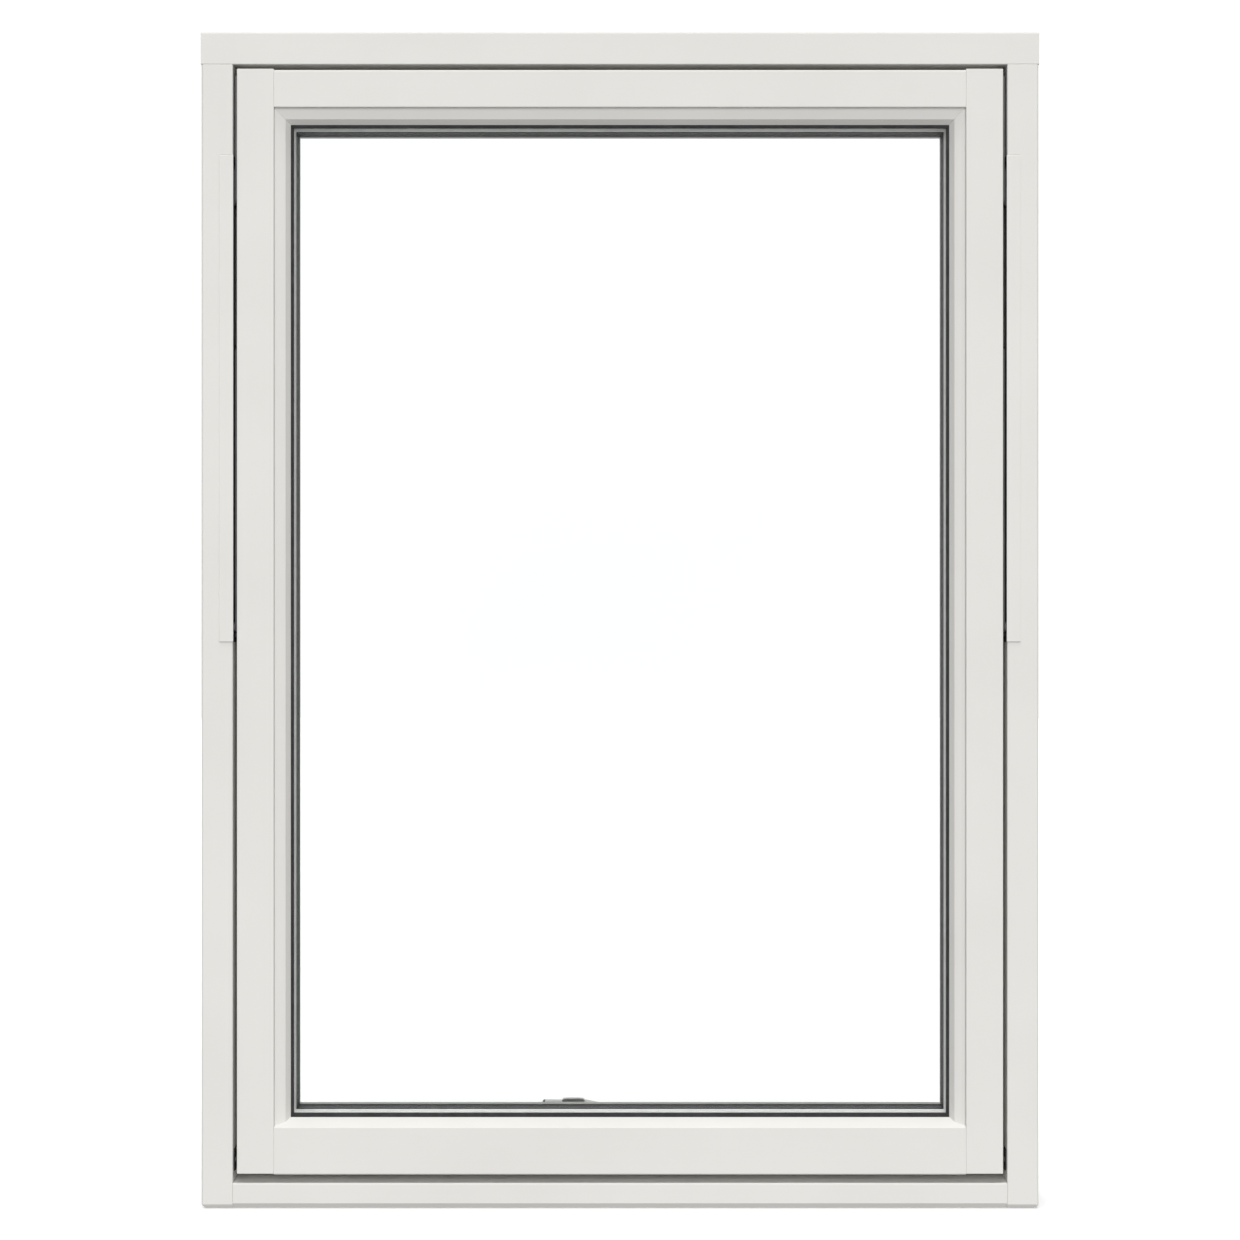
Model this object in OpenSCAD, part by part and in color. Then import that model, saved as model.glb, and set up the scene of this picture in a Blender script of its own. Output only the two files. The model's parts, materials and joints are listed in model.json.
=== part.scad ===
// Outward-opening top-swing window: painted timber frame and sash, triple glazing,
// side hinge arms with sliding shoes, and a lever handle that shoots two side bolts.
// Millimetres. X runs across the window, Z up, and the outside face looks along -Y.
// The origin is the middle of the frame's underside.

/* [Frame] */
// Overall frame width
frame_w = 990; // [880:1:1100]
// Overall frame height
frame_h = 1390; // [1380:1:1600]
// Frame depth, outside face to room face
frame_d = 115; // [115:1:140]
// Face width of a jamb
jamb_face = 37.3; // [36:0.1:44]
// Face height of the head
head_face = 39.0; // [34:0.1:44]
// Face height of the sill
sill_face = 30.0; // [28:0.1:30]
// How far each jamb stands in from the ends of the head
head_overhang = 0.6; // [0:0.1:2]
// Height of the stop lip above the frame's rebate
stop_h = 13.7; // [12:0.1:16]
// Depth of the stop lip, measured from the room face
stop_d = 18; // [14:0.5:20]
// Depth of the sloped bottom edge of the sill
sill_chamfer = 6.4; // [2:0.1:8]

/* [Sash] */
// Sash depth, outside face to room face
sash_d = 92; // [90:0.5:94]
// Gap between sash and jamb, where the hinge arms run
side_gap = 4.6; // [4.6:0.1:5.2]
// Gap between sash and head
top_gap = 5.2; // [5:0.1:7]
// Height of the underside of the sash's stiles
stile_foot = 41.3; // [41:0.1:43]
// Height of the underside of the bottom rail
rail_foot = 40.0; // [39.6:0.1:41]
// Face width of a stile
stile_face = 43.9; // [42:0.1:50]
// Face height of the top rail
top_rail_face = 45.3; // [42:0.1:52]
// Height of the bottom rail's top edge on the outside
bottom_rail_top = 95.4; // [94:0.1:96]

/* [Glazing] */
// Thickness of each pane
pane_t = 4; // [3:0.5:4]
// Width of each gas space
cavity_t = 18; // [12:1:18]
// Depth of the outer pane's outside face
glass_d = 24; // [24:0.5:26]
// How far the glass reaches behind the gasket's edge
edge_cover = 16; // [12:1:16]
// Sight height of a glazing bead at the sides and top
bead_w = 17.6; // [16:0.1:20]
// Height of the gasket that shows beside a bead
gasket_w = 3.4; // [2:0.1:4]

/* [Hinges] */
// Height of the arm's pivot on the frame
frame_pivot_z = 687; // [687:1:690]
// Distance of the top pivot below the top of the sash
top_pivot_drop = 10; // [10:0.5:11]
// Depth of all the pivots behind the outside face
pivot_d = 14.9; // [14.9:0.1:15]
// Radius of the pivot pins
pin_r = 4; // [3:0.5:4]
// Width of the arm
arm_w = 16; // [14:1:16]
// Thickness of the arm
arm_t = 2.1; // [1.6:0.1:2.1]
// Height of the lower end of the guide rail
rail_foot_z = 675; // [674:1:677]
// Length of the guide rail
rail_length = 561; // [555:1:561]

/* [Lock] */
// Height of the spindle
spindle_z = 71; // [70:0.5:71]
// Teeth on the pinion
teeth = 12; // [12:2:12]
// Gear module: pitch diameter over teeth
gear_module = 1.25; // [1.25:0.05:1.25]
// Height of the middle of the side bolts
bolt_z = 56; // [56:0.5:56]
// Depth of the middle of the rods and bolts
rod_d = 22; // [21:0.5:23]
// How far a drawn bolt stands out of the sash
bolt_proud = 2; // [0:0.1:2.4]

/* [Handle] */
// Distance of the lever's tip from the spindle
lever_reach = 95; // [85:1:110]
// Height of the lever's grip above the spindle, at its top edge
grip_rise = 36.0; // [30:0.1:36]
// Width of the safety button on the grip
button_w = 27; // [20:1:30]

/* [Hidden] */
$fn = 48;
eps = 0.01;
slip = 0.05;             // radial clearance of a pin in its bore
free = 0.4;              // clearance of a sliding piece

jamb_x = frame_w / 2 - head_overhang;       // outer side of a jamb
rebate_x = frame_w / 2 - head_overhang - jamb_face;
stop_x = rebate_x - stop_h;
head_z = frame_h - head_face;
stop_top_z = head_z - stop_h;
stop_from_d = frame_d - stop_d;
sill_back_z = sill_face + 4.4;
sill_stop_z = sill_back_z + 15;

sash_x = rebate_x - side_gap;
sash_top = head_z - top_gap;
opening_x = sash_x - stile_face;            // inner edge of a stile's face
opening_z = sash_top - top_rail_face;
top_rail_z = sash_top - 1;                  // the rail's edge is eased, so it ends lower
rebate_floor = bottom_rail_top - 6.4;
bead_d = glass_d - 4.5;                     // back of the beads, front of the gasket
step_d = 5;                                 // step from a stile's face to its bead
bend_d = 10.5;                              // depth at the bend in a bead's face
bend_w = 12.4;                              // width of a bead up to that bend
sight_x = opening_x - bead_w - gasket_w;
sight_top = opening_z - bead_w - gasket_w;
sight_bottom = rebate_floor + edge_cover + 4.2;
unit_x = sight_x + edge_cover;
unit_z = [sight_bottom - edge_cover, sight_top + edge_cover];
unit_t = 3 * pane_t + 2 * cavity_t;
lip_d = glass_d + unit_t + 5;               // the inner gasket is 5 thick
lip_x = sight_x + 0.8;

top_pivot_z = sash_top - top_pivot_drop;
arm_len = (top_pivot_z - frame_pivot_z) / 2;
sash_pivot_z = frame_pivot_z + arm_len;
arm_x = sash_x + 0.9;                       // sash side of the arm
plate_t = 2.5;
plate_d = [pivot_d - 9.9, pivot_d + 9.9];
plate_z = [sash_pivot_z - 14, sash_top];
rail_z = [rail_foot_z, rail_foot_z + rail_length];
strip_z = [rail_z[0] - 6, rail_z[1] + 8];   // cover strip on the jamb
channel = [rebate_x + 0.2, rebate_x + 14.8]; // the guide rail's two sides in X
channel_d = [pivot_d - 11.4, pivot_d + 11.4];
sheet = 1.7;                                // wall of the guide rail
slot_half = 6.5;                            // half the mouth of the guide rail
shoe_z = [rail_z[1] - 54, rail_z[1] - 4];
seal_w = 6.6;                               // width of the frame's weatherstrip
screw_r = 2;
screw_head_r = 3.8;

pitch_r = teeth * gear_module / 2;
pitch_p = PI * gear_module;
rod_t = 5.6;
rod_z = [51, 58];
bolt_h = 16;
bolt_t = 7.6;
case_x = 50;
case_z = [44, 85.8];
case_t = 8.8;
case_d = [rod_d - case_t / 2, rod_d + case_t / 2];
throw = pitch_r * PI / 2;                   // travel of a bolt for a quarter turn
rose_t = 4.8;
fixing_z = [150, 1240];                     // heights of the frame's fixing sleeves
fixing_d = 60;
sleeve_r = 7;
sleeve_bore = 5;
corner_screw_d = [30, 85];
corner_screw_z = 16;
corner_screw_r = 2.5;
corner_head_r = 5;
dowel_r = 5;
rose_screw_z = [59.6, 92.5];
rose_x = 14;
core_half = 5.7;                            // half depth of the shoe's core
lip_reach = 20.4;                           // how far the inner lip covers the glass
base_r = pitch_r * cos(20);
tip_r = pitch_r + gear_module;
root_r = pitch_r - 1.5;
rack_top = 83.6;                            // back of the upper rack
grip_top = spindle_z + grip_rise;
grip_d = [sash_d + 11, sash_d + 26];
button_x = [-lever_reach + 24.4, -lever_reach + 24.4 + button_w];

// ---- helpers ----

// Y of a depth behind the outside face
function y_at(d) = d - frame_d / 2;
function unit(v) = v / norm(v);
// The shorter way round from one angle to another
function turn(a) = a > 180 ? a - 360 : (a < -180 ? a + 360 : a);

// One corner of an outline, [x, y, radius], as the points of its round
function round_corner(before, p, after, n = 5) =
    let (
        c0 = [p.x, p.y],
        r = p[2],
        u = unit([before.x, before.y] - c0),
        v = unit([after.x, after.y] - c0),
        half = acos(u * v) / 2
    )
    r == 0 ? [c0] :
    let (
        c = c0 + unit(u + v) * r / sin(half),
        s = c0 + u * r / tan(half) - c,
        e = c0 + v * r / tan(half) - c,
        a0 = atan2(s.y, s.x),
        sweep = turn(atan2(e.y, e.x) - a0)
    )
    [for (i = [0:n]) c + r * [cos(a0 + sweep * i / n), sin(a0 + sweep * i / n)]];

// An outline whose points carry a corner radius
function rounded(pts) =
    let (n = len(pts))
    [for (i = [0:n - 1]) each round_corner(pts[(i + n - 1) % n], pts[i], pts[(i + 1) % n])];

// A box outline with one radius for each corner, from the lowest one round
function box_pts(lo, hi, r = [0, 0, 0, 0]) = rounded([
    [lo.x, lo.y, r[0]], [hi.x, lo.y, r[1]], [hi.x, hi.y, r[2]], [lo.x, hi.y, r[3]]
]);

// The outline (y, z) drawn out along X
module along_x(x0, x1) translate([x0, 0, 0]) rotate([90, 0, 90]) linear_extrude(x1 - x0) children();
// The outline (x, y) drawn out along Z
module along_z(z0, z1) translate([0, 0, z0]) linear_extrude(z1 - z0) children();
// The outline (x, z) drawn out along Y, between two depths
module along_y(d0, d1) translate([0, y_at(d1), 0]) rotate([90, 0, 0]) linear_extrude(d1 - d0) children();
// A box from X, depth and Z ranges
module block(x, d, z) translate([x[0], y_at(d[0]), z[0]]) cube([x[1] - x[0], d[1] - d[0], z[1] - z[0]]);
// A rod along X, at a height and depth
module rod_x(x, d, z, r) translate([x[0], y_at(d), z]) rotate([0, 90, 0]) cylinder(h = x[1] - x[0], r = r);
// What is drawn for the right side, on side 1 or mirrored to side -1
module on_side(side) if (side > 0) children(); else mirror([1, 0, 0]) children();
module both_sides() { children(); mirror([1, 0, 0]) children(); }

// A countersunk screw along +X, its head's face at x0
module screw_x(x0, length, d, z) {
    rod_x([x0, x0 + 1.6], d, z, screw_head_r);
    rod_x([x0 + 1.6 - eps, x0 + length], d, z, screw_r);
}

paint = "#e3e1dc";
metal = "#b9bcbf";
black = "#26272a";

// ---- frame ----

module side_screws(side) on_side(side) for (d = corner_screw_d) {
    rod_x([sash_x - 32, jamb_x - 4.9], d, corner_screw_z, corner_screw_r);
    rod_x([jamb_x - 5, jamb_x - 2.2], d, corner_screw_z, corner_head_r);
}

module head_screws(side) on_side(side) for (d = corner_screw_d) translate([jamb_x - 18, y_at(d), 0]) {
    translate([0, 0, head_z - 62]) cylinder(h = 62 + head_face - 5.9, r = corner_screw_r);
    translate([0, 0, frame_h - 6]) cylinder(h = 3, r = corner_head_r);
}

module screw_pockets(side) on_side(side) for (d = corner_screw_d) {
    rod_x([jamb_x - 2.3, jamb_x + 1], d, corner_screw_z, corner_head_r);
    translate([jamb_x - 18, y_at(d), frame_h - 3.1]) cylinder(h = 5, r = corner_head_r);
}

module frame_head() color(paint) difference() {
    union() {
        along_x(-frame_w / 2, frame_w / 2)
            polygon(box_pts([y_at(0), head_z], [y_at(frame_d), frame_h], [1.2, 1, 1.5, 3.2]));
        along_x(-stop_x, stop_x) polygon(box_pts(
            [y_at(stop_from_d), stop_top_z], [y_at(frame_d), head_z + 1], [1, 2, 0, 0]));
    }
    for (side = [-1, 1]) {
        head_screws(side);
        screw_pockets(side);
    }
}

module frame_sill() color(paint) difference() {
    union() {
        along_x(-rebate_x, rebate_x) polygon(rounded([
            [y_at(sill_chamfer), 0, 0], [y_at(stop_from_d), 0, 0], [y_at(stop_from_d), sill_back_z, 0],
            [y_at(0), sill_face, 1.6], [y_at(0), sill_chamfer, 1]
        ]));
        along_x(-stop_x, stop_x) polygon(box_pts(
            [y_at(stop_from_d - 1), 0], [y_at(frame_d), sill_back_z], [0, 1, 0, 0]));
        along_x(-stop_x, stop_x) polygon(box_pts(
            [y_at(stop_from_d), sill_back_z - 1], [y_at(frame_d), sill_stop_z], [0, 0, 2, 1]));
    }
    for (side = [-1, 1]) side_screws(side);
}

module frame_jamb(side) color(paint) on_side(side) difference() {
    union() {
        along_z(0, head_z) polygon(box_pts(
            [rebate_x, y_at(0)], [jamb_x, y_at(frame_d)], [1.6, 3.4, 1, 0]));
        along_z(0, head_z) polygon(box_pts(
            [stop_x, y_at(stop_from_d)], [rebate_x + 1, y_at(frame_d)], [1, 0, 0, 2]));
    }
    // eased foot: the front edge and the outer corner
    along_x(rebate_x - 1, jamb_x + 1)
        polygon([[y_at(-1), -1], [y_at(6), -1], [y_at(-1), 6]]);
    along_y(-1, frame_d + 1)
        polygon([[jamb_x - 5.7, -1], [jamb_x + 1, -1], [jamb_x + 1, 5.7]]);
    // pocket for the guide rail, closed in front by the cover strip
    block([rebate_x - 1, rebate_x + 15], [-1, channel_d[1] + 0.2], strip_z);
    // pocket that the bolt enters
    block([rebate_x - 1, rebate_x + throw + 0.6], [rod_d - 5.2, rod_d + 5.2], [bolt_z - 9.4, bolt_z + 9.4]);
    for (z = fixing_z) rod_x([rebate_x - 1, jamb_x + 1], fixing_d, z, sleeve_r);
    side_screws(1);
    head_screws(1);
    screw_pockets(1);
    rail_screw_set(1);
    keep_screw_set(1);
}

module frame_jamb_left() frame_jamb(-1);
module frame_jamb_right() frame_jamb(1);

// Closed-cell strip in the corner of the rebate: a flat foot on the stop lip and a rounded face
module frame_gasket() color(black) {
    front = y_at(sash_d + 1.2);
    foot = y_at(stop_from_d);
    from_edge = stop_h - seal_w - 1.9;      // from the stop lip's edge to the strip
    top_z = [stop_top_z + from_edge, stop_top_z + from_edge + seal_w];
    low_z = [sill_back_z + 1.6, sill_back_z + 1.6 + seal_w];
    side_x = [stop_x + from_edge, stop_x + from_edge + seal_w];
    both_sides() along_z(low_z[1] + 0.5, top_z[0] - 0.5) polygon(box_pts(
        [side_x[0], front], [side_x[1], foot], [1.6, 1.6, 0, 0]));
    along_x(-side_x[1], side_x[1]) polygon(box_pts(
        [front, top_z[0]], [foot, top_z[1]], [1.6, 0, 0, 1.6]));
    along_x(-side_x[1], side_x[1]) polygon(box_pts(
        [front, low_z[0]], [foot, low_z[1]], [1.6, 0, 0, 1.6]));
}

module frame_corner_screws() color(metal) for (side = [-1, 1]) {
    side_screws(side);
    head_screws(side);
}

// Steel sleeves through the jambs, for the screws that hold the frame in the wall
module fixing_sleeves() color(metal) both_sides() for (z = fixing_z) difference() {
    rod_x([rebate_x, jamb_x], fixing_d, z, sleeve_r);
    rod_x([rebate_x - 1, jamb_x + 1], fixing_d, z, sleeve_bore);
}

// ---- guide rails and their covers ----

module rail_screw_set(side) on_side(side)
    for (z = [rail_z[0] + 60, (rail_z[0] + rail_z[1]) / 2, rail_z[1] - 30])
        screw_x(channel[1] - 1.6, 20, pivot_d, z);

module guide_rail(side) color(metal) on_side(side) difference() {
    along_z(rail_z[0], rail_z[1]) difference() {
        polygon(box_pts([channel[0], y_at(channel_d[0])], [channel[1], y_at(channel_d[1])], [1, 1, 1, 1]));
        translate([channel[0] + sheet, y_at(channel_d[0] + sheet)])
            square([channel[1] - channel[0] - 2 * sheet + 0.1, channel_d[1] - channel_d[0] - 2 * sheet]);
        translate([channel[0] - 1, y_at(pivot_d - slot_half)]) square([4, 2 * slot_half]);
    }
    rail_screw_set(1);
}

module guide_rail_left() guide_rail(-1);
module guide_rail_right() guide_rail(1);

module rail_screws() color(metal) for (side = [-1, 1]) rail_screw_set(side);

// Plastic caps that close the two ends of each guide rail
module rail_end_caps() color(black) both_sides() {
    for (z = [[strip_z[0] + 0.2, rail_z[0]], [rail_z[1], strip_z[1] - 0.2]])
        block([rebate_x - 0.5, channel[1]], channel_d, z);
}

// Painted strip that closes the rail's pocket from the outside, a little proud of the jamb
module rail_cover_strip(side) color(paint) on_side(side) {
    along_z(strip_z[0], strip_z[1]) polygon(rounded([
        [rebate_x - 0.6, y_at(-1.2), 0.6], [rebate_x + 16, y_at(-1.2), 0.5], [rebate_x + 16, y_at(0), 0],
        [rebate_x + 14.8, y_at(0), 0], [rebate_x + 14.8, y_at(3), 0], [rebate_x + 0.2, y_at(3), 0],
        [rebate_x + 0.2, y_at(0.6), 0], [rebate_x - 0.6, y_at(0.6), 0.3]
    ]));
}

module rail_cover_strip_left() rail_cover_strip(-1);
module rail_cover_strip_right() rail_cover_strip(1);

// Stud in the rail's lower end that the arm turns on
module frame_pivot(side) color(metal) on_side(side) {
    rod_x([arm_x + arm_t + 0.4, channel[1] - sheet], pivot_d, frame_pivot_z, 6.2);
    rod_x([arm_x - 0.3, arm_x + arm_t + 0.5], pivot_d, frame_pivot_z, pin_r);
    rod_x([arm_x - 0.6, arm_x - 0.2], pivot_d, frame_pivot_z, pin_r + 1.2);
}

module frame_pivot_left() frame_pivot(-1);
module frame_pivot_right() frame_pivot(1);

// ---- bolt keeps ----

module keep_screw_set(side) on_side(side) for (d = [rod_d - 10, rod_d + 10])
    screw_x(rebate_x - 1.5, 20, d, bolt_z);

module bolt_keep(side) color(black) on_side(side) difference() {
    translate([rebate_x - 1.5, 0, 0]) rotate([90, 0, 90]) linear_extrude(1.5)
        polygon(box_pts([y_at(rod_d - 15), bolt_z - 13], [y_at(rod_d + 15), bolt_z + 13], [3, 3, 3, 3]));
    block([rebate_x - 3, rebate_x + 1], [rod_d - 4.8, rod_d + 4.8], [bolt_z - 9, bolt_z + 9]);
    keep_screw_set(1);
}

module bolt_keep_left() bolt_keep(-1);
module bolt_keep_right() bolt_keep(1);
module keep_screws() color(metal) for (side = [-1, 1]) keep_screw_set(side);

// ---- hinge arms and sliders ----

// Flat bar between two pivots, in the plane of the side gap
module bar(z0, z1, w) {
    for (z = [z0, z1]) rod_x([arm_x, arm_x + arm_t], pivot_d, z, w / 2);
    block([arm_x, arm_x + arm_t], [pivot_d - w / 2, pivot_d + w / 2], [z0, z1]);
}

module hinge_arm(side) color(metal) on_side(side) difference() {
    bar(frame_pivot_z, sash_pivot_z, arm_w);
    for (z = [frame_pivot_z, sash_pivot_z]) rod_x([arm_x - 1, arm_x + arm_t + 1], pivot_d, z, pin_r + slip);
}

module hinge_arm_left() hinge_arm(-1);
module hinge_arm_right() hinge_arm(1);

// Neck through the rail's mouth, and core that the shoe is moulded round
module carrier_core() {
    core_d = [pivot_d - core_half, pivot_d + core_half];
    core_z = [shoe_z[0] + 4, shoe_z[1] - 4];
    block([arm_x + arm_t - eps, channel[0] + sheet + 0.6], core_d, core_z);
    block([channel[0] + sheet + 0.5, channel[1] - 5], core_d, core_z);
}

module slider_carrier(side) color(metal) on_side(side) {
    difference() {
        bar(shoe_z[0] + 12, top_pivot_z, 15);
        rod_x([arm_x - 1, arm_x + arm_t + 1], pivot_d, top_pivot_z, pin_r + slip);
    }
    carrier_core();
}

module slider_carrier_left() slider_carrier(-1);
module slider_carrier_right() slider_carrier(1);

module slider_shoe(side) color("#d9d7cf") on_side(side) difference() {
    block([channel[0] + sheet + free, channel[1] - sheet - free],
        [channel_d[0] + sheet + free, channel_d[1] - sheet - free], shoe_z);
    carrier_core();
}

module slider_shoe_left() slider_shoe(-1);
module slider_shoe_right() slider_shoe(1);

// ---- sash timber ----

module dowel_set(side) on_side(side) for (d = [38, 60]) {
    rod_x([opening_x - 40, sash_x - 10], d, opening_z + 22, dowel_r);
    rod_x([opening_x - 40, sash_x - 10], d + 8, rail_foot + 22, dowel_r);
}

module sash_stile(side) color(paint) on_side(side) difference() {
    union() {
        along_z(stile_foot, sash_top) polygon(box_pts(
            [opening_x, y_at(0)], [sash_x, y_at(sash_d)], [1, 1.6, 2, 0]));
        along_z(sight_bottom, opening_z - lip_reach) polygon(box_pts(
            [lip_x, y_at(lip_d)], [opening_x + 1, y_at(sash_d)], [1, 0, 0, 3]));
    }
    block([sash_x - plate_t, sash_x + 1], plate_d, [plate_z[0], sash_top + 1]);
    block([opening_x - 1, sash_x + 1], [rod_d - bolt_t / 2 - free, rod_d + bolt_t / 2 + free],
        [bolt_z - bolt_h / 2 - free, bolt_z + bolt_h / 2 + free]);
    dowel_set(1);
    plate_screw_set(1);
}

module sash_stile_left() sash_stile(-1);
module sash_stile_right() sash_stile(1);

module sash_top_rail() color(paint) difference() {
    union() {
        along_x(-opening_x, opening_x) polygon(box_pts(
            [y_at(0), opening_z], [y_at(sash_d), top_rail_z], [1, 0, 2, 2.6]));
        along_x(-opening_x, opening_x) polygon(box_pts(
            [y_at(lip_d), opening_z - lip_reach], [y_at(sash_d), opening_z + 1], [1, 3, 0, 0]));
    }
    for (side = [-1, 1]) dowel_set(side);
}

module sash_bottom_rail() color(paint) difference() {
    along_x(-opening_x, opening_x) polygon(rounded([
        [y_at(0), rail_foot, 2.2], [y_at(sash_d), rail_foot, 2], [y_at(sash_d), sight_bottom, 3],
        [y_at(lip_d), sight_bottom, 1], [y_at(lip_d), rebate_floor, 0], [y_at(3), rebate_floor, 0],
        [y_at(3), bottom_rail_top + 1.5, 0], [y_at(0), bottom_rail_top, 0.6]
    ]));
    // groove for the rods, and the pocket for the gear case
    block([-opening_x - 1, opening_x + 1], case_d, [rail_foot - 1, 62.5]);
    block([-case_x, case_x], case_d, [rail_foot - 1, case_z[1]]);
    translate([0, y_at(rod_d), spindle_z]) rotate([-90, 0, 0]) cylinder(h = sash_d, r = 6);
    for (z = rose_screw_z)
        translate([0, y_at(sash_d - 18), z]) rotate([-90, 0, 0]) cylinder(h = 19, r = screw_r);
    for (side = [-1, 1]) dowel_set(side);
}

module corner_dowels() color("#c8a877") for (side = [-1, 1]) dowel_set(side);

// ---- beads, gaskets and glass ----

// Section of a side bead, in (distance in from the face edge, depth)
bead_pts = rounded([
    [0, step_d, 0], [bend_w, bend_d, 0.8], [bead_w, bead_d - 1, 0.8], [bead_w, bead_d, 0.2],
    [8, bead_d, 0], [8, glass_d, 0], [0, glass_d, 0]
]);

module glazing_bead(side) color(paint) on_side(side) difference() {
    along_z(rebate_floor, opening_z)
        polygon([for (p = bead_pts) [opening_x - p.x, y_at(p.y)]]);
    // the top bead's mitre, and the slope of the bottom bead
    along_y(0, glass_d + 1) polygon([
        [opening_x + 1, opening_z + 1], [opening_x - 30, opening_z + 1], [opening_x - 30, opening_z - 30]]);
    along_x(opening_x - 30, opening_x + 1) polygon([
        [y_at(-1), rebate_floor - 1], [y_at(glass_d + 1), rebate_floor - 1],
        [y_at(glass_d + 1), slope_z(bead_d)], [y_at(bead_d), slope_z(bead_d)], [y_at(-1), slope_z(-1)]]);
}

// Height of the bottom bead's weathered face at a depth
function slope_z(d) = bottom_rail_top + 0.5 * d;

module glazing_bead_left() glazing_bead(-1);
module glazing_bead_right() glazing_bead(1);

module glazing_bead_top() color(paint) difference() {
    along_x(-opening_x, opening_x)
        polygon([for (p = bead_pts) [y_at(p.y), opening_z - p.x]]);
    both_sides() along_y(0, glass_d + 1) polygon([
        [opening_x + 1, opening_z + 1], [opening_x + 1, opening_z - 31], [opening_x - 31, opening_z - 31]]);
}

module glazing_bead_bottom() color(paint)
    along_x(-opening_x, opening_x) polygon(rounded([
        [y_at(3), rebate_floor, 0], [y_at(glass_d), rebate_floor, 0], [y_at(glass_d), slope_z(bead_d) - 6, 0],
        [y_at(bead_d), slope_z(bead_d) - 6, 0], [y_at(bead_d), slope_z(bead_d), 0.8], [y_at(3), slope_z(3), 0]
    ]));

// Four strips round the glass, between two depths, from the sight line outwards by w
module strips(d, w, r = 0) color(black) {
    both_sides() along_z(sight_bottom, sight_top)
        polygon(box_pts([sight_x, y_at(d[0])], [sight_x + w, y_at(d[1])], [r, 0, 0, r]));
    along_x(-sight_x - w, sight_x + w)
        polygon(box_pts([y_at(d[0]), sight_top], [y_at(d[1]), sight_top + w], [r, r, 0, 0]));
    along_x(-sight_x - w, sight_x + w)
        polygon(box_pts([y_at(d[0]), sight_bottom - w], [y_at(d[1]), sight_bottom], [0, 0, r, r]));
}

module gasket_outer() difference() {
    strips([bead_d, glass_d], gasket_w + 9, 1);
    for (bead_side = [-1, 1]) glazing_bead(bead_side);
    glazing_bead_top();
    glazing_bead_bottom();
}
module gasket_inner() strips([glass_d + unit_t, lip_d], 12, 1);

module pane(i) color([0.85, 0.92, 0.92, 0.35])
    block([-unit_x, unit_x], [0, pane_t] + [1, 1] * (glass_d + i * (pane_t + cavity_t)), unit_z);
module pane_outer() pane(0);
module pane_middle() pane(1);
module pane_inner() pane(2);

module spacer_outer() color("#d8d9d6") strips([glass_d + pane_t, glass_d + pane_t + cavity_t], 7);
module spacer_inner() strips([glass_d + 2 * pane_t + cavity_t, glass_d + 2 * (pane_t + cavity_t)], 7);

module setting_blocks() color("#3a5f8a") {
    block_d = [glass_d + 0.2, glass_d + unit_t];
    for (x = [-300, 300]) block([x - 40, x + 40], block_d, [rebate_floor, unit_z[0]]);
    both_sides() for (z = [260, 1130]) block([unit_x, opening_x], block_d, [z - 40, z + 40]);
}

// ---- hinge plates and their pins on the sash ----

module plate_screw_set(side) on_side(side) for (i = [1:4])
    mirror([1, 0, 0]) screw_x(-sash_x, 24, pivot_d, sash_pivot_z + i * (top_pivot_z - sash_pivot_z) / 5);

module pin_pair(side) on_side(side) for (z = [sash_pivot_z, top_pivot_z]) {
    rod_x([sash_x - plate_t, arm_x + arm_t + 0.3], pivot_d, z, pin_r);
    rod_x([arm_x + arm_t + 0.2, arm_x + arm_t + 0.6], pivot_d, z, pin_r + 1.2);
}

module hinge_plate(side) color(metal) difference() {
    on_side(side) block([sash_x - plate_t, sash_x], plate_d, plate_z);
    plate_screw_set(side);
    pin_pair(side);
}

module hinge_plate_left() hinge_plate(-1);
module hinge_plate_right() hinge_plate(1);
module sash_pins_left() color(metal) pin_pair(-1);
module sash_pins_right() color(metal) pin_pair(1);
module plate_screws() color(metal) for (side = [-1, 1]) plate_screw_set(side);

// ---- lock ----

module gear_case() color(metal) difference() {
    block([-case_x, case_x], case_d, case_z);
    block([-case_x - 1, case_x + 1], case_d + [1.2, -1.2], case_z + [1.2, -1.2]);
    translate([0, y_at(rod_d - 10), spindle_z]) rotate([-90, 0, 0]) cylinder(h = 20, r = 5.5 + slip);
}

module rod_cover() color(metal)
    block([-opening_x, opening_x], case_d, [rail_foot + 0.4, rail_foot + 3]);

// Teeth of a rack, pointing along +Y of the sketch, with a gap at x = 0
module rack_teeth(first, last) {
    half = pitch_p / 4 - 0.1;
    lean = tan(20);
    for (i = [first:last]) translate([(i + 0.5) * pitch_p, 0]) polygon([
        [-half - 1.5 * lean, -1.6], [half + 1.5 * lean, -1.6],
        [half - 0.8 * lean, 0.8], [-half + 0.8 * lean, 0.8]
    ]);
}

// Rod with the lower rack, shot to the left
module lock_rod_left() color(metal) along_y(rod_d - rod_t / 2, rod_d + rod_t / 2) {
    translate([-sash_x + 28, rod_z[0]]) square([sash_x - 11, rod_z[1] - rod_z[0]]);
    translate([-30, rod_z[0]]) square([47, spindle_z - pitch_r - 1.5 - rod_z[0]]);
    translate([0, spindle_z - pitch_r]) rack_teeth(-3, 3);
}

// Rod with the upper rack, shot to the right
module lock_rod_right() color(metal) along_y(rod_d - rod_t / 2, rod_d + rod_t / 2) {
    translate([24, rod_z[0]]) square([sash_x - 52, rod_z[1] - rod_z[0]]);
    translate([24, rod_z[0]]) square([10, rack_top - rod_z[0]]);
    translate([-17, spindle_z + pitch_r + 1.5]) square([51, rack_top - spindle_z - pitch_r - 1.5]);
    translate([0, spindle_z + pitch_r]) mirror([0, 1]) rack_teeth(-4, 2);
}

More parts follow.
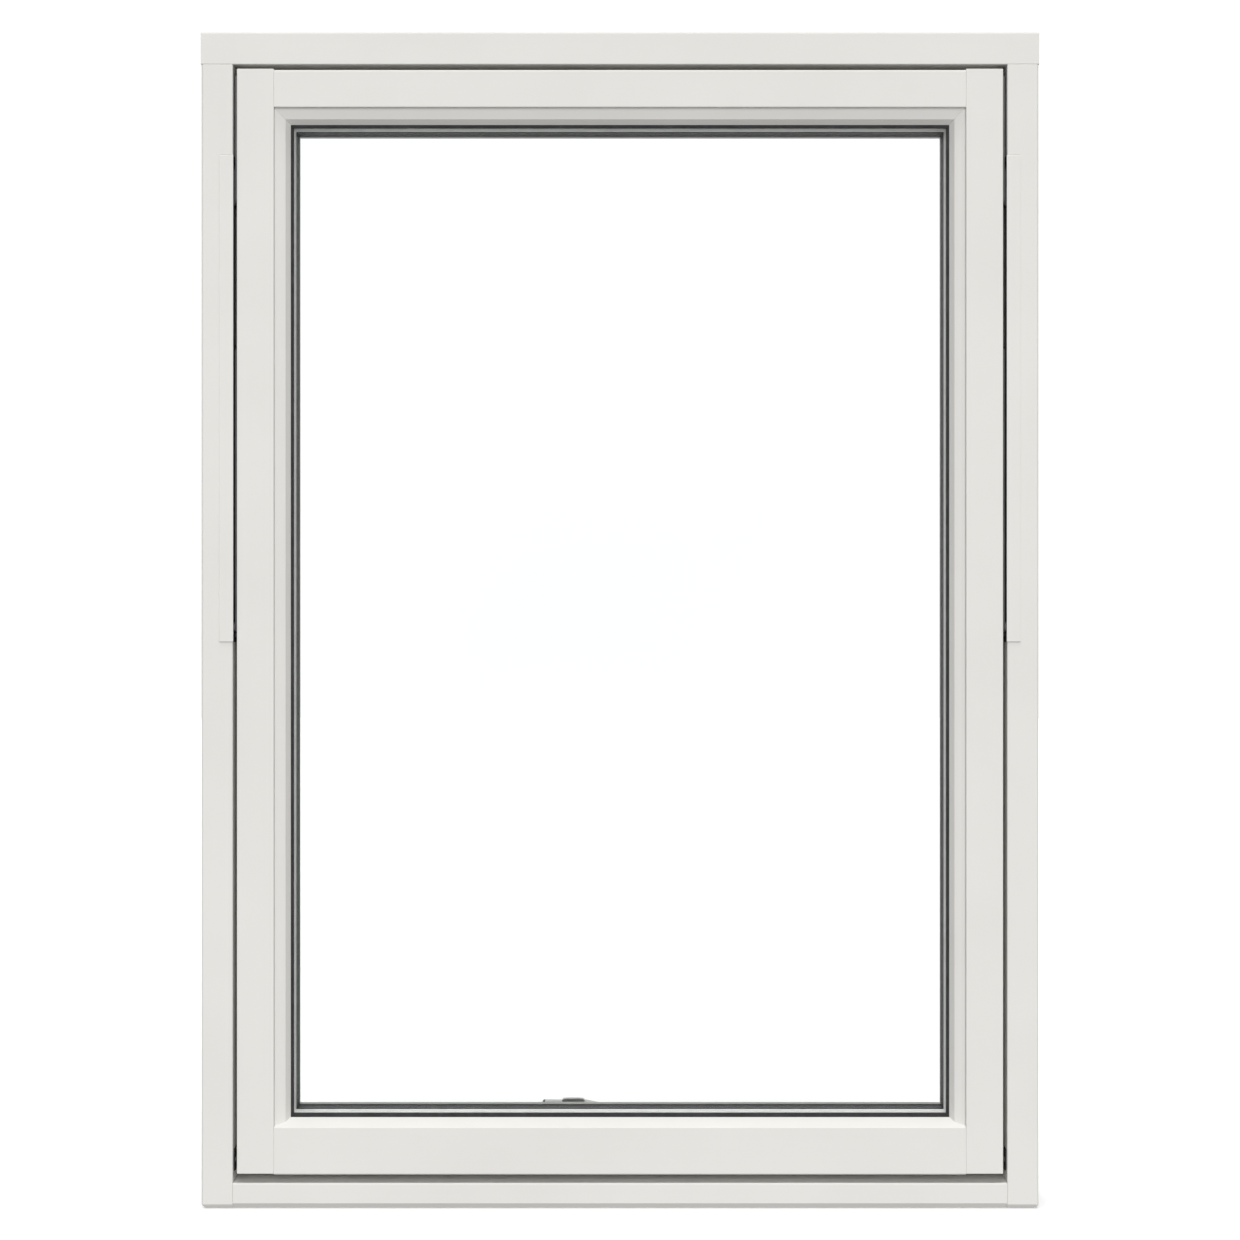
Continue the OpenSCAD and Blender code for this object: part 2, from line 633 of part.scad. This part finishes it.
module lock_bolt(side) color(black) on_side(side)
    along_x(sash_x - 28, sash_x + bolt_proud) polygon(box_pts(
        [y_at(rod_d - bolt_t / 2), bolt_z - bolt_h / 2], [y_at(rod_d + bolt_t / 2), bolt_z + bolt_h / 2],
        [1, 1, 1, 1]));

module lock_bolt_left() lock_bolt(-1);
module lock_bolt_right() lock_bolt(1);

// ---- handle, spindle and pinion ----

// Angle that an involute has turned by, where it reaches radius r
function roll(r) = r <= base_r ? 0 : sqrt(pow(r / base_r, 2) - 1) * 180 / PI - acos(base_r / r);
// Half the angle of a tooth at radius r, thinned for backlash
function half_tooth(r) = 90 / teeth - 1.2 + roll(pitch_r) - roll(r);
function polar(r, a) = [r * cos(a), r * sin(a)];

module pinion() color(metal) translate([0, 0, spindle_z]) difference() {
    union() {
        along_y(rod_d - rod_t / 2, rod_d + rod_t / 2) polygon([
            for (i = [0:teeth - 1], s = [-1, 1], k = [0:5])
                let (share = s < 0 ? k / 5 : 1 - k / 5, r = root_r + share * (tip_r - root_r))
                polar(r, i * 360 / teeth + s * half_tooth(r))
        ]);
        along_y(rod_d - case_t / 2 + 0.1, rod_d + case_t / 2) circle(r = 5.5);
    }
    along_y(0, frame_d) square(6.1, center = true);
}

module spindle() color(metal)
    translate([0, 0, spindle_z]) along_y(rod_d - 4, sash_d + 18) square(6, center = true);

module handle_rose() color(metal) difference() {
    along_y(sash_d, sash_d + rose_t)
        polygon(box_pts([-rose_x, 54.6], [rose_x, 98.6], [13, 13, 13, 13]));
    translate([0, 0, spindle_z]) along_y(sash_d - 1, sash_d + rose_t + 1) circle(r = 7.5 + slip);
    rose_screws();
}

module rose_screws() color(metal) for (z = rose_screw_z) {
    translate([0, y_at(sash_d - 18), z]) rotate([-90, 0, 0]) cylinder(h = 18 + rose_t - 1.5, r = screw_r);
    translate([0, y_at(sash_d + rose_t - 1.6), z]) rotate([-90, 0, 0]) cylinder(h = 1.6, r = 3.1);
}

module grip_outline() polygon(rounded([
    [9, spindle_z + 6, 4], [-27, grip_top - 3, 7], [-42, grip_top, 6], [-lever_reach, grip_top, 3],
    [-lever_reach, grip_top - 16, 5], [-44, grip_top - 18, 14], [-8, spindle_z - 10, 4]
]));

module handle_lever() color(metal) difference() {
    union() {
        translate([0, 0, spindle_z]) along_y(sash_d + 0.3, sash_d + rose_t + 1) circle(r = 7.5);
        translate([0, 0, spindle_z]) along_y(sash_d + rose_t + 0.4, grip_d[1]) circle(r = 12);
        along_y(grip_d[0], grip_d[1]) intersection() {
            grip_outline();
            translate([-lever_reach + 3.5, 0]) square([200, 200]);
        }
    }
    block(button_x + [-free, free], [sash_d + 14 - free, sash_d + 23 + free], [grip_top - 7.4, grip_top + 1]);
    spindle();
}

// Plastic plug in the end of the grip
module handle_end_cap() color(black) along_y(grip_d[0], grip_d[1]) intersection() {
    grip_outline();
    translate([-lever_reach - 1, 0]) square([4.5, 200]);
}

// Push button that frees the lever
module handle_button() color(metal) along_y(sash_d + 14, sash_d + 23)
    polygon(box_pts([button_x[0], grip_top - 4.6], [button_x[1], grip_top + 3.1], [0.5, 0.5, 2.4, 2.4]));

// ---- which sub-part to draw ----

frame_head();
frame_sill();
frame_jamb_left();
frame_jamb_right();
frame_gasket();
guide_rail_left();
guide_rail_right();
rail_end_caps();
rail_screws();
rail_cover_strip_left();
rail_cover_strip_right();
frame_pivot_left();
frame_pivot_right();
bolt_keep_left();
bolt_keep_right();
keep_screws();
frame_corner_screws();
fixing_sleeves();
hinge_arm_left();
hinge_arm_right();
slider_carrier_left();
slider_carrier_right();
slider_shoe_left();
slider_shoe_right();
sash_stile_left();
sash_stile_right();
sash_top_rail();
sash_bottom_rail();
corner_dowels();
glazing_bead_left();
glazing_bead_right();
glazing_bead_top();
glazing_bead_bottom();
gasket_outer();
gasket_inner();
pane_outer();
pane_middle();
pane_inner();
spacer_outer();
spacer_inner();
setting_blocks();
hinge_plate_left();
hinge_plate_right();
sash_pins_left();
sash_pins_right();
plate_screws();
gear_case();
rod_cover();
handle_rose();
rose_screws();
lock_rod_left();
lock_rod_right();
lock_bolt_left();
lock_bolt_right();
pinion();
spindle();
handle_lever();
handle_end_cap();
handle_button();
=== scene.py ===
import json
import math

import bmesh
import bpy
from mathutils import Matrix, Vector


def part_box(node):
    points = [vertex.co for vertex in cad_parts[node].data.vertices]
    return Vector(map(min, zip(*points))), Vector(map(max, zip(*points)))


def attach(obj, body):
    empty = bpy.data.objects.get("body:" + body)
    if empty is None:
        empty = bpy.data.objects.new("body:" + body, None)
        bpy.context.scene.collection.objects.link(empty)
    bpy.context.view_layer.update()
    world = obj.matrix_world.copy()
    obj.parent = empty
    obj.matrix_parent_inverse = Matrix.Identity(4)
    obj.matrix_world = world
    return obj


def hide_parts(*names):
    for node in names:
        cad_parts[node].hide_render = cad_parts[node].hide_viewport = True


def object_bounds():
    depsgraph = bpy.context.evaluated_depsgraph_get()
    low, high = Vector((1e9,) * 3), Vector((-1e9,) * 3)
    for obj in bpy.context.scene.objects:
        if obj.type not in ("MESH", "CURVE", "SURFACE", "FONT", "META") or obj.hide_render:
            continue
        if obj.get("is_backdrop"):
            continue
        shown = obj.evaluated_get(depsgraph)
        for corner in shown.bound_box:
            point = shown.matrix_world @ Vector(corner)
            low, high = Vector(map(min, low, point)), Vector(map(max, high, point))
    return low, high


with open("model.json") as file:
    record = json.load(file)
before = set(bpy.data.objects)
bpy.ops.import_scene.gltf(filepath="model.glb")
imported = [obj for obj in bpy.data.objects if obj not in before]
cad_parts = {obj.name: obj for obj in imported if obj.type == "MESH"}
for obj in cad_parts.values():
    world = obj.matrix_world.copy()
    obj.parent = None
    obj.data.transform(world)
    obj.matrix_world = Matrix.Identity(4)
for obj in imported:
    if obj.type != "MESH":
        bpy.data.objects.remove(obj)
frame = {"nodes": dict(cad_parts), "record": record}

# A painted timber top-swing window, seen from outside. Metres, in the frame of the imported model.
MM = 0.001
CAD_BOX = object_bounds()
BODY_OF = {n: b for b, nodes in frame["record"]["behaviour"]["bodies"].items() for n in nodes}
SLOT_OF = {p["node"]: p["material_slot"] for p in frame["record"]["subparts"]}


# ---- camera, lights, floor ----

def camera():
    """Straight on to the outside, three metres from the face, on the window's middle."""
    middle = (CAD_BOX[0].z + CAD_BOX[1].z) / 2
    face_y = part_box("frame_head")[0].y
    distance = 3.0
    shown_width = 1.4637
    data = bpy.data.cameras.new("camera")
    data.sensor_width = 36.0
    data.lens = data.sensor_width * distance / shown_width
    data.clip_start, data.clip_end = 0.05, 60.0
    cam = bpy.data.objects.new("camera", data)
    cam.location = (0, face_y - distance, middle)
    cam.rotation_euler = (math.pi / 2, 0, 0)
    bpy.context.scene.collection.objects.link(cam)
    bpy.context.scene.camera = cam
    cam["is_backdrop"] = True


def sun(name, towards_light, strength, softness_deg):
    """A sun that gives a white surface facing it this strength, and isn't seen in mirrors."""
    data = bpy.data.lights.new(name, "SUN")
    data.energy = strength * math.pi
    data.angle = math.radians(softness_deg)
    lamp = bpy.data.objects.new(name, data)
    lamp.rotation_euler = Vector(towards_light).to_track_quat("Z", "Y").to_euler()
    lamp.location = Vector(towards_light) * 4
    lamp.visible_glossy = False
    bpy.context.scene.collection.objects.link(lamp)
    lamp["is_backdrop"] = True


def studio():
    """A white room that is full white where it is seen, and softer where it lights or is mirrored."""
    seen, lit = 1.08, 0.27
    mirrored_low, mirrored_high = 0.7, 1.1
    world = bpy.data.worlds.new("studio")
    bpy.context.scene.world = world
    world.use_nodes = True
    nodes, links = world.node_tree.nodes, world.node_tree.links
    background = nodes["Background"]
    background.inputs["Color"].default_value = (1, 1, 1, 1)
    path = nodes.new("ShaderNodeLightPath")
    way = nodes.new("ShaderNodeTexCoord")
    split = nodes.new("ShaderNodeSeparateXYZ")
    links.new(way.outputs["Generated"], split.inputs[0])
    mirrored = nodes.new("ShaderNodeMapRange")
    mirrored.interpolation_type = "SMOOTHSTEP"
    mirrored.inputs["From Min"].default_value = 0.1
    mirrored.inputs["From Max"].default_value = 0.75
    mirrored.inputs["To Min"].default_value = mirrored_low
    mirrored.inputs["To Max"].default_value = mirrored_high
    links.new(split.outputs["Z"], mirrored.inputs["Value"])
    glossy = nodes.new("ShaderNodeMix")
    glossy.inputs["A"].default_value = seen
    links.new(path.outputs["Is Glossy Ray"], glossy.inputs["Factor"])
    links.new(mirrored.outputs["Result"], glossy.inputs["B"])
    diffuse = nodes.new("ShaderNodeMix")
    diffuse.inputs["B"].default_value = lit
    links.new(path.outputs["Is Diffuse Ray"], diffuse.inputs["Factor"])
    links.new(glossy.outputs["Result"], diffuse.inputs["A"])
    links.new(diffuse.outputs["Result"], background.inputs["Strength"])
    sun("front_light", (0.05, -0.96, 0.20), 0.69, 40)
    sun("top_light", (0.0, -0.2, 0.98), 0.60, 30)
    sun("back_light", (-0.35, 0.82, 0.45), 0.45, 50)
    view = bpy.context.scene.view_settings
    view.view_transform = "Standard"
    view.look = "None"
    view.exposure, view.gamma = 0.0, 1.0


def floor():
    """A pale floor that catches shadows but keeps out of reflections and of the light on the part."""
    mesh = bpy.data.meshes.new("floor")
    half = 15.0
    mesh.from_pydata([(-half, -half, 0), (half, -half, 0), (half, half, 0), (-half, half, 0)],
                     [], [(0, 1, 2, 3)])
    obj = bpy.data.objects.new("floor", mesh)
    below_part = 0.2 * MM
    obj.location.z = CAD_BOX[0].z - below_part
    obj.visible_diffuse = False
    obj.visible_glossy = False
    obj.visible_shadow = False
    white = plain("floor_white", (0.93, 0.93, 0.93), 0.9)
    shader = white.node_tree.nodes["Principled BSDF"]
    shader.inputs["Emission Color"].default_value = (1, 1, 1, 1)
    shader.inputs["Emission Strength"].default_value = 0.15
    mesh.materials.append(white)
    bpy.context.scene.collection.objects.link(obj)
    obj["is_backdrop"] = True


# ---- materials ----

class Nodes:
    """Short ways to add nodes to one material."""

    def __init__(self, name):
        self.material = bpy.data.materials.new(name)
        self.material.use_nodes = True
        self.tree = self.material.node_tree
        self.shader = self.tree.nodes["Principled BSDF"]
        self.place = self.tree.nodes.new("ShaderNodeTexCoord").outputs["Object"]

    def link(self, a, b):
        self.tree.links.new(a, b)

    def stretched(self, scale):
        node = self.tree.nodes.new("ShaderNodeMapping")
        node.inputs["Scale"].default_value = scale
        self.link(self.place, node.inputs["Vector"])
        return node.outputs["Vector"]

    def noise(self, scale, detail=2.0, roughness=0.5, vector=None):
        node = self.tree.nodes.new("ShaderNodeTexNoise")
        node.inputs["Scale"].default_value = scale
        node.inputs["Detail"].default_value = detail
        node.inputs["Roughness"].default_value = roughness
        self.link(vector or self.place, node.inputs["Vector"])
        return node.outputs["Fac"]

    def ramp(self, fac, colours, low=0.35, high=0.65):
        node = self.tree.nodes.new("ShaderNodeValToRGB")
        ends = node.color_ramp.elements
        ends[0].position, ends[1].position = low, high
        ends[0].color = (*colours[0], 1)
        ends[1].color = (*colours[1], 1)
        self.link(fac, node.inputs["Fac"])
        return node.outputs["Color"]

    def spread(self, fac, low, high):
        node = self.tree.nodes.new("ShaderNodeMapRange")
        node.inputs["From Min"].default_value = 0.3
        node.inputs["From Max"].default_value = 0.7
        node.inputs["To Min"].default_value = low
        node.inputs["To Max"].default_value = high
        self.link(fac, node.inputs["Value"])
        return node.outputs["Result"]

    def bump(self, heights):
        """heights: (value, depth in metres) pairs, one bump on the next."""
        normal = None
        for value, depth in heights:
            node = self.tree.nodes.new("ShaderNodeBump")
            node.inputs["Strength"].default_value = 1.0
            node.inputs["Distance"].default_value = depth
            self.link(value, node.inputs["Height"])
            if normal:
                self.link(normal, node.inputs["Normal"])
            normal = node.outputs["Normal"]
        self.link(normal, self.shader.inputs["Normal"])


def plain(name, colour, roughness):
    """An even matt surface with a very faint change of tone."""
    n = Nodes(name)
    low = [c * 0.985 for c in colour]
    n.link(n.ramp(n.noise(3.0), (low, colour)), n.shader.inputs["Base Color"])
    n.shader.inputs["Roughness"].default_value = roughness
    return n.material


def paint(name, along):
    """Opaque satin paint on planed timber whose grain runs along X or Z."""
    n = Nodes(name)
    body = n.noise(7.0, 3.0)
    tones = ((0.706, 0.695, 0.665), (0.724, 0.714, 0.684))
    n.link(n.ramp(body, tones), n.shader.inputs["Base Color"])
    n.link(n.spread(n.noise(60.0), 0.36, 0.46), n.shader.inputs["Roughness"])
    n.shader.inputs["Specular IOR Level"].default_value = 0.2
    across, lengthwise = 420.0, 9.0
    scale = (lengthwise, across, across) if along == "x" else (across, across, lengthwise)
    grain = n.noise(1.0, 3.0, 0.6, n.stretched(scale))
    peel = n.noise(900.0, 1.0)
    n.bump([(grain, 0.02 * MM), (peel, 0.012 * MM)])
    return n.material


def rubber(name):
    """Dull black seal with a little dust on it."""
    n = Nodes(name)
    colour = (0.018, 0.018, 0.019)
    dusty = [c * 1.9 for c in colour]
    n.link(n.ramp(n.noise(45.0, 4.0), (colour, dusty), 0.4, 0.8), n.shader.inputs["Base Color"])
    n.link(n.spread(n.noise(150.0), 0.55, 0.75), n.shader.inputs["Roughness"])
    n.bump([(n.noise(2500.0), 0.02 * MM)])
    return n.material


def metal(name, colour, roughness=0.32, scratch=0.01, lay=(1200.0, 1200.0, 25.0), metallic=1.0):
    """Plated or satin metal with a fine lay along Z and cloudy tone."""
    n = Nodes(name)
    dark = [c * 0.86 for c in colour]
    n.link(n.ramp(n.noise(90.0, 3.0), (dark, colour)), n.shader.inputs["Base Color"])
    n.shader.inputs["Metallic"].default_value = metallic
    fine = n.noise(1.0, 2.0, 0.6, n.stretched(lay))
    n.link(n.spread(fine, roughness - 0.06, roughness + 0.08), n.shader.inputs["Roughness"])
    n.bump([(fine, scratch * MM)])
    return n.material


def moulded(name, colour, roughness=0.5):
    """Moulded plastic or a smooth coating with a fine texture."""
    n = Nodes(name)
    light = [min(1.0, c * 1.12 + 0.004) for c in colour]
    n.link(n.ramp(n.noise(70.0, 3.0), (colour, light)), n.shader.inputs["Base Color"])
    n.link(n.spread(n.noise(300.0), roughness - 0.06, roughness + 0.08), n.shader.inputs["Roughness"])
    n.bump([(n.noise(1800.0), 0.015 * MM)])
    return n.material


def bare_wood(name):
    """Unpainted wood whose grain runs along X."""
    n = Nodes(name)
    grain = n.noise(1.0, 4.0, 0.6, n.stretched((30.0, 600.0, 600.0)))
    n.link(n.ramp(grain, ((0.36, 0.22, 0.10), (0.62, 0.44, 0.24))), n.shader.inputs["Base Color"])
    n.shader.inputs["Roughness"].default_value = 0.7
    n.bump([(grain, 0.05 * MM)])
    return n.material


def glass(name):
    """Clear float glass: what is behind it, and a mirror that grows towards the edge of view."""
    n = Nodes(name)
    nodes = n.tree.nodes
    nodes.remove(n.shader)
    out = nodes["Material Output"]
    clear = nodes.new("ShaderNodeBsdfTransparent")
    tints = ((0.992, 0.998, 0.995), (0.998, 1.0, 0.999))
    n.link(n.ramp(n.noise(2.0), tints), clear.inputs["Color"])
    mirror = nodes.new("ShaderNodeBsdfGlossy")
    mirror.inputs["Roughness"].default_value = 0.0
    mirror.inputs["Color"].default_value = (0.5, 0.5, 0.5, 1)
    # Schlick's formula, which is the same from either side of a pane
    facing = nodes.new("ShaderNodeLayerWeight")
    facing.inputs["Blend"].default_value = 0.5
    steep = nodes.new("ShaderNodeMath")
    steep.operation = "POWER"
    steep.inputs[1].default_value = 5.0
    n.link(facing.outputs["Facing"], steep.inputs[0])
    share = nodes.new("ShaderNodeMapRange")
    share.inputs["To Min"].default_value = 0.008
    share.inputs["To Max"].default_value = 0.9
    n.link(steep.outputs[0], share.inputs["Value"])
    mix = nodes.new("ShaderNodeMixShader")
    n.link(share.outputs["Result"], mix.inputs["Fac"])
    n.link(clear.outputs[0], mix.inputs[1])
    n.link(mirror.outputs[0], mix.inputs[2])
    n.link(mix.outputs[0], out.inputs["Surface"])
    return n.material


PAINT_X = paint("paint_along_x", "x")
PAINT_Z = paint("paint_along_z", "z")
RUBBER = rubber("seal_rubber")
GLASS = glass("window_glass")
ZINC = metal("zinc_plate", (0.60, 0.61, 0.62))
# zinc darkened as painted shade, for the hardware that stands in the gaps beside the sash
GAP_SHADED_ZINC = metal("zinc_plate_with_painted_gap_shade", (0.20, 0.205, 0.21), 0.42)
SATIN = metal("satin_metal", (0.72, 0.72, 0.71), 0.36, 0.006, (25.0, 1200.0, 1200.0), 0.7)
PALE = moulded("pale_spacer", (0.74, 0.74, 0.72), 0.55)
BLACK = moulded("black_plastic", (0.014, 0.014, 0.015))
BLACK_STEEL = moulded("black_coated_steel", (0.012, 0.012, 0.013), 0.4)
GREY = moulded("light_grey_plastic", (0.66, 0.66, 0.65), 0.4)
NYLON = moulded("nylon", (0.74, 0.73, 0.68), 0.45)
BLOCK = moulded("block_plastic", (0.05, 0.12, 0.25))
TIMBER = bare_wood("bare_timber")
FINISH = {
    "zinc_steel": ZINC, "black_plastic": BLACK, "black_steel": BLACK_STEEL, "satin_metal": SATIN,
    "nylon": NYLON, "block_plastic": BLOCK, "bare_timber": TIMBER,
}


# ---- making pieces ----

def smooth(mesh):
    """Smooth shading that stays crisp across every edge of more than 32 degrees."""
    mesh.shade_smooth()
    mesh.set_sharp_from_angle(angle=math.radians(32))


def add(name, bm, node, material):
    """A finished piece in place of its CAD node, riding on that node's body."""
    mesh = bpy.data.meshes.new(name)
    bm.normal_update()
    bm.to_mesh(mesh)
    bm.free()
    mesh.materials.append(material)
    smooth(mesh)
    obj = bpy.data.objects.new(name, mesh)
    bpy.context.scene.collection.objects.link(obj)
    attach(obj, BODY_OF[node])
    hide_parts(node)
    return obj


def from_cad(node):
    """The node's shape with its triangles joined into flat faces."""
    same_place, same_plane = 0.002 * MM, math.radians(0.6)
    bm = bmesh.new()
    bm.from_mesh(frame["nodes"][node].data)
    bmesh.ops.remove_doubles(bm, verts=bm.verts, dist=same_place)
    bmesh.ops.dissolve_limit(bm, angle_limit=same_plane, verts=bm.verts, edges=bm.edges)
    return bm


def ease(obj, width, segments=2, clamp=False):
    """Rounds the sharp arrises."""
    bevel = obj.modifiers.new("eased", "BEVEL")
    bevel.width = width
    bevel.segments = segments
    bevel.limit_method = "ANGLE"
    bevel.angle_limit = math.radians(40)
    bevel.use_clamp_overlap = clamp
    flat = obj.modifiers.new("flat_faces", "WEIGHTED_NORMAL")
    flat.keep_sharp = True
    flat.weight = 100
    return obj


def eased_copy(node, material, width, clamp=False):
    """The node's own shape with its arrises rounded."""
    return ease(add(node + "_shape", from_cad(node), node, material), width, clamp=clamp)


def ring(bm, profile, corners):
    """A closed frame whose section is profile: (inset, depth) points, mitred at four corners.

    corners is (x, z_low, z_high) of the line that inset 0 follows."""
    x, low, high = corners
    loops = []
    for side, z, inwards in ((-1, low, 1), (1, low, 1), (1, high, -1), (-1, high, -1)):
        loops.append([bm.verts.new((side * (x - inset), y, z + inwards * inset))
                      for inset, y in profile])
    count = len(profile)
    for a, b in zip(loops, loops[1:] + loops[:1]):
        for i in range(count):
            j = (i + 1) % count
            bm.faces.new((a[i], a[j], b[j], b[i]))
    bmesh.ops.recalc_face_normals(bm, faces=bm.faces)


def islands(node):
    """The boxes of the node's separate solids, as (lowest corner, highest corner)."""
    bm = from_cad(node)
    left = set(bm.verts)
    boxes = []
    while left:
        group, front = [], [left.pop()]
        while front:
            v = front.pop()
            group.append(v.co.copy())
            near = {e.other_vert(v) for e in v.link_edges} & left
            left -= near
            front.extend(near)
        boxes.append((Vector(map(min, *group)), Vector(map(max, *group))))
    bm.free()
    return sorted(boxes, key=lambda b: tuple(round(c, 5) for c in b[0]))


def lathe(bm, profile, place, steps):
    """Turns (radius, height) points about Z and puts the result at place; the ends are closed."""
    rings = []
    for radius, height in profile:
        rings.append([bm.verts.new(place @ Vector((radius * math.cos(2 * math.pi * k / steps),
                                                   radius * math.sin(2 * math.pi * k / steps),
                                                   height))) for k in range(steps)])
    for a, b in zip(rings, rings[1:]):
        for k in range(steps):
            bm.faces.new((a[k], a[(k + 1) % steps], b[(k + 1) % steps], b[k]))
    bm.faces.new(list(reversed(rings[0])))
    bm.faces.new(rings[-1])


# ---- the window ----

def timber():
    """The painted pieces, with grain along their length. The cover strips' ends are rounded more."""
    arris, strip_arris = 0.35 * MM, 0.9 * MM
    for node in BODY_OF:
        if SLOT_OF[node] != "painted_timber":
            continue
        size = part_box(node)[1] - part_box(node)[0]
        material = PAINT_X if size.x > size.z else PAINT_Z
        eased_copy(node, material, strip_arris if "cover_strip" in node else arris)


def threaded_screws(node, heads_towards):
    """Screws in place of the node's rods: flat head, round socket, ribbed shank.

    heads_towards gives the way a screw's head looks from the middle of its rod."""
    bm = bmesh.new()
    pitch, point, around = 1.6 * MM, 4 * MM, 18
    socket_depth, cone_bottom = 1.1 * MM, -1.6 * MM
    for low, high in islands(node):
        size = high - low
        middle = (low + high) / 2
        way = heads_towards(middle)
        axis = max(range(3), key=lambda i: abs(way[i]))
        length = size[axis]
        head_r = sorted(size)[1] / 2
        shank_r = 0.55 * head_r
        turn = way.to_track_quat("Z", "Y").to_matrix().to_4x4()
        place = Matrix.Translation(middle + way * (length / 2)) @ turn
        socket_r = 0.45 * head_r
        profile = [(socket_r * 0.9, -socket_depth), (socket_r, -0.1 * MM), (socket_r + 0.15 * MM, 0),
                   (head_r - 0.2 * MM, 0), (head_r, -0.25 * MM), (head_r, -0.6 * MM),
                   (shank_r, cone_bottom - (head_r - shank_r) * 0.3)]
        z = profile[-1][1] - 0.5 * MM
        while z > -length + point:
            profile += [(shank_r * 0.8, z), (shank_r, z - 0.5 * pitch)]
            z -= pitch
        profile.append((0.2 * MM, -length))
        lathe(bm, profile, place, around)
    bmesh.ops.recalc_face_normals(bm, faces=bm.faces)
    add(node + "_threaded", bm, node, ZINC)


def inward(middle):
    return Vector((-1 if middle.x > 0 else 1, 0, 0))


def outward(middle):
    return Vector((1 if middle.x > 0 else -1, 0, 0))


def to_the_room(middle):
    return Vector((0, 1, 0))


def screws():
    threaded_screws("rail_screws", inward)
    threaded_screws("keep_screws", inward)
    threaded_screws("plate_screws", outward)
    threaded_screws("rose_screws", to_the_room)
    low_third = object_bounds()[1].z / 3

    def out_of_the_frame(middle):
        """The sill is screwed through the jambs, and the jambs through the head."""
        return outward(middle) if middle.z < low_third else Vector((0, 0, 1))

    threaded_screws("frame_corner_screws", out_of_the_frame)


def hardware():
    """Every piece that hasn't been replaced yet, in its own finish with its edges eased.

    The guide rails, hinge parts and slider carriers stand in the dark gaps beside the sash, so they
    get a darker zinc as painted shade for those gaps. soft_edges holds the width in millimetres and
    the steps of the pieces that are rounded most."""
    soft_edges = {"handle_lever": (1.9, 4), "handle_rose": (1.2, 3), "handle_end_cap": (0.6, 2),
                  "slider_shoe_left": (0.8, 2), "slider_shoe_right": (0.8, 2),
                  "rod_cover": (0.4, 2), "gear_case": (0.6, 2)}
    small_edge = (0.25, 2)
    for node in BODY_OF:
        if frame["nodes"][node].hide_render:
            continue
        finish = FINISH[SLOT_OF[node]]
        # painted shade: the parts in the gaps get the darkened zinc instead of their own plating
        if node.startswith(("guide_rail", "hinge_", "slider_carrier")):
            finish = GAP_SHADED_ZINC
        width, segments = soft_edges.get(node, small_edge)
        obj = add(node + "_shape", from_cad(node), node, finish)
        ease(obj, width * MM, segments, clamp=True)


def handle_button():
    """The push button: a rounded cap with a row of grip ribs on its top."""
    low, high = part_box("handle_button")
    ribs, rib_h, corner, margin = 7, 0.5 * MM, 2.4 * MM, 5 * MM
    top = high.z - rib_h
    outline = [(low.x, low.z), (high.x, low.z)]
    arc = [i * math.pi / 8 for i in range(5)]
    outline += [(high.x - corner + corner * math.cos(a), top - corner + corner * math.sin(a))
                for a in arc]
    first, last = low.x + margin, high.x - margin
    step = (last - first) / ribs
    for i in reversed(range(ribs)):
        x = first + i * step
        outline += [(x + step * 0.8, top), (x + step * 0.6, high.z), (x + step * 0.35, high.z),
                    (x + step * 0.15, top)]
    outline += [(low.x + corner - corner * math.cos(a), top - corner + corner * math.sin(a))
                for a in reversed(arc)]
    bm = bmesh.new()
    front = [bm.verts.new((x, low.y, z)) for x, z in outline]
    back = [bm.verts.new((x, high.y, z)) for x, z in outline]
    bm.faces.new(front)
    bm.faces.new(list(reversed(back)))
    for k in range(len(outline)):
        j = (k + 1) % len(outline)
        bm.faces.new((front[j], front[k], back[k], back[j]))
    bmesh.ops.recalc_face_normals(bm, faces=bm.faces)
    ease(add("handle_button_ribbed", bm, "handle_button", GREY), 0.3 * MM, clamp=True)


def framed(name, node, material, width, section):
    """A mitred frame with its own section in place of a node that is four strips.

    section is (share of the width inwards, share of the depth) points."""
    low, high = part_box(node)
    bm = bmesh.new()
    ring(bm, [(u * width, low.y + v * (high.y - low.y)) for u, v in section], (high.x, low.z, high.z))
    add(name, bm, node, material)


def glazing():
    """Panes and seals, with spacers and inner gasket that reach in to the same sight line."""
    pane_arris, seal_arris = 0.5 * MM, 0.3 * MM
    for node in ("pane_outer", "pane_middle", "pane_inner"):
        eased_copy(node, GLASS, pane_arris)
    for node in ("frame_gasket", "gasket_outer"):
        eased_copy(node, RUBBER, seal_arris, clamp=True)
    gasket_width = 12 * MM
    spacer_width = gasket_width - (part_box("gasket_inner")[1].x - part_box("spacer_outer")[1].x)
    folded = [(0, 0.12), (0.25, 0), (0.88, 0), (1, 0.06), (1, 0.44), (0.94, 0.47), (0.94, 0.53),
              (1, 0.56), (1, 0.94), (0.88, 1), (0.25, 1), (0, 0.88)]
    framed("spacer_outer_folded", "spacer_outer", PALE, spacer_width, folded)
    framed("spacer_inner_folded", "spacer_inner", BLACK, spacer_width, folded)
    lipped = [(0, 0.1), (0.3, 0), (0.4, 0.2), (0.5, 0), (0.9, 0), (0.97, 0.15), (1, 0.5), (0.97, 0.85),
              (0.9, 1), (0.5, 1), (0.4, 0.8), (0.3, 1), (0, 0.9)]
    framed("gasket_inner_lipped", "gasket_inner", RUBBER, gasket_width, lipped)


camera()
studio()
floor()
timber()
glazing()
screws()
handle_button()
hardware()
